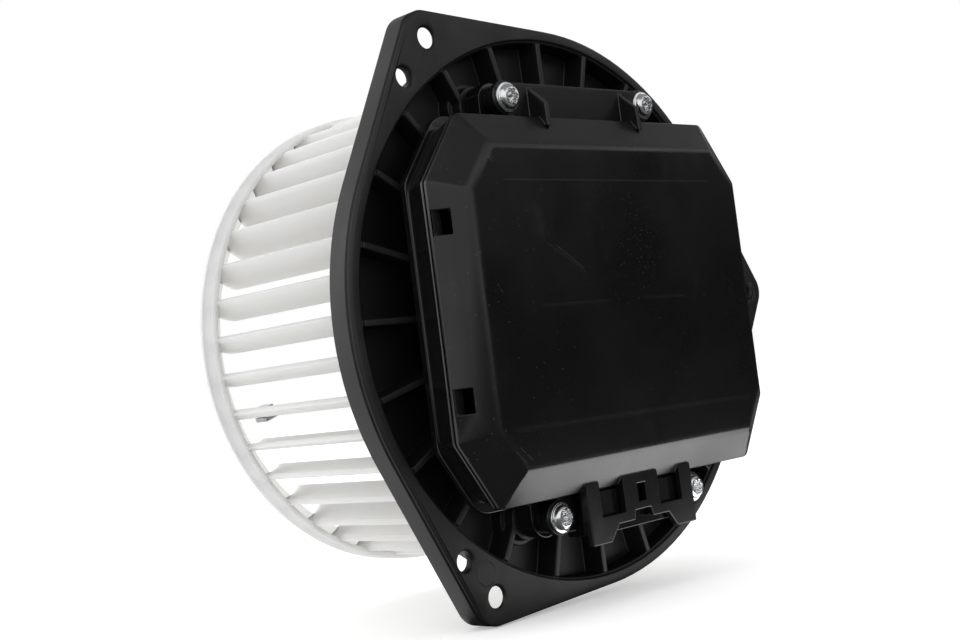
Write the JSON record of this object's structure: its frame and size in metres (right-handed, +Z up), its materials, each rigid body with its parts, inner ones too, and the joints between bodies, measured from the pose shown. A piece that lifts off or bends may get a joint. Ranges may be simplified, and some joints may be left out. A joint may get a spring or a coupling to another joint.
{
  "type": "car cabin blower motor",
  "caption": "Squirrel-cage blower wheel on an electric motor, with a lobed mounting flange and a speed controller under a corner-cut cover",
  "frame": {"origin": "centre of the three mounting holes' circle, on the shaft axis, in the plane of the flange's front face", "axes": "+X along the shaft out of the controller cover, so the wheel is towards -X; +Z up as pictured, with the connector below; +Y towards the single ear of the flange"},
  "size_m": [0.1092, 0.1813, 0.1728],
  "materials": {
    "black_plastic": "satin black moulded plastic, talc filled, with fine mould texture",
    "cover_plastic": "satin black moulded plastic with sink lines and scuffs",
    "dark_plastic": "smooth black plastic",
    "wheel_plastic": "translucent off-white plastic",
    "bobbin_plastic": "cream moulded plastic",
    "zinc_steel": "bright zinc-plated steel",
    "bare_steel": "ground and pressed steel",
    "spring_steel": "dark spring steel",
    "core_steel": "stacked steel sheets, lacquered",
    "cast_aluminium": "as cast",
    "bronze": "sintered bronze",
    "copper": "enamelled copper wire",
    "terminal_metal": "tinned brass",
    "ferrite": "dark sintered ferrite",
    "rubber": "black rubber",
    "board": "green lacquered circuit board",
    "component_black": "black epoxy",
    "capacitor_can": "sleeved aluminium can"
  },
  "bodies": {
    "housing": {"mounting_flange": "black_plastic", "stator_carrier": "cast_aluminium", "carrier_grommets": "rubber", "carrier_screws": "zinc_steel", "rear_bearing": "bronze", "front_bearing": "bronze", "stator_core": "core_steel", "stator_insulators": "bobbin_plastic", "stator_windings": "copper", "phase_terminals": "terminal_metal", "controller_base": "dark_plastic", "heat_sink": "cast_aluminium", "heat_sink_screws": "zinc_steel", "power_transistors": "component_black", "circuit_board": "board", "board_screws": "zinc_steel", "capacitors": "capacitor_can", "choke_core": "ferrite", "choke_winding": "copper", "cover_seal": "rubber", "controller_cover": "cover_plastic", "cover_screws": "zinc_steel", "connector_header": "dark_plastic", "connector_pins": "terminal_metal"},
    "rotor": {"motor_shaft": "bare_steel", "rotor_cup": "bare_steel", "rotor_magnets": "ferrite", "rotor_hub": "bare_steel", "thrust_washers": "bobbin_plastic", "retaining_clip": "spring_steel", "fan_wheel": "wheel_plastic", "wheel_washer": "zinc_steel", "wheel_nut": "zinc_steel", "balance_clip": "spring_steel"}
  },
  "joints": [
    {"name": "wheel_spin", "type": "hinge", "parent": "housing", "child": "rotor", "pos_m": [0, 0, 0], "axis": [1, 0, 0], "continuous": true}
  ]
}
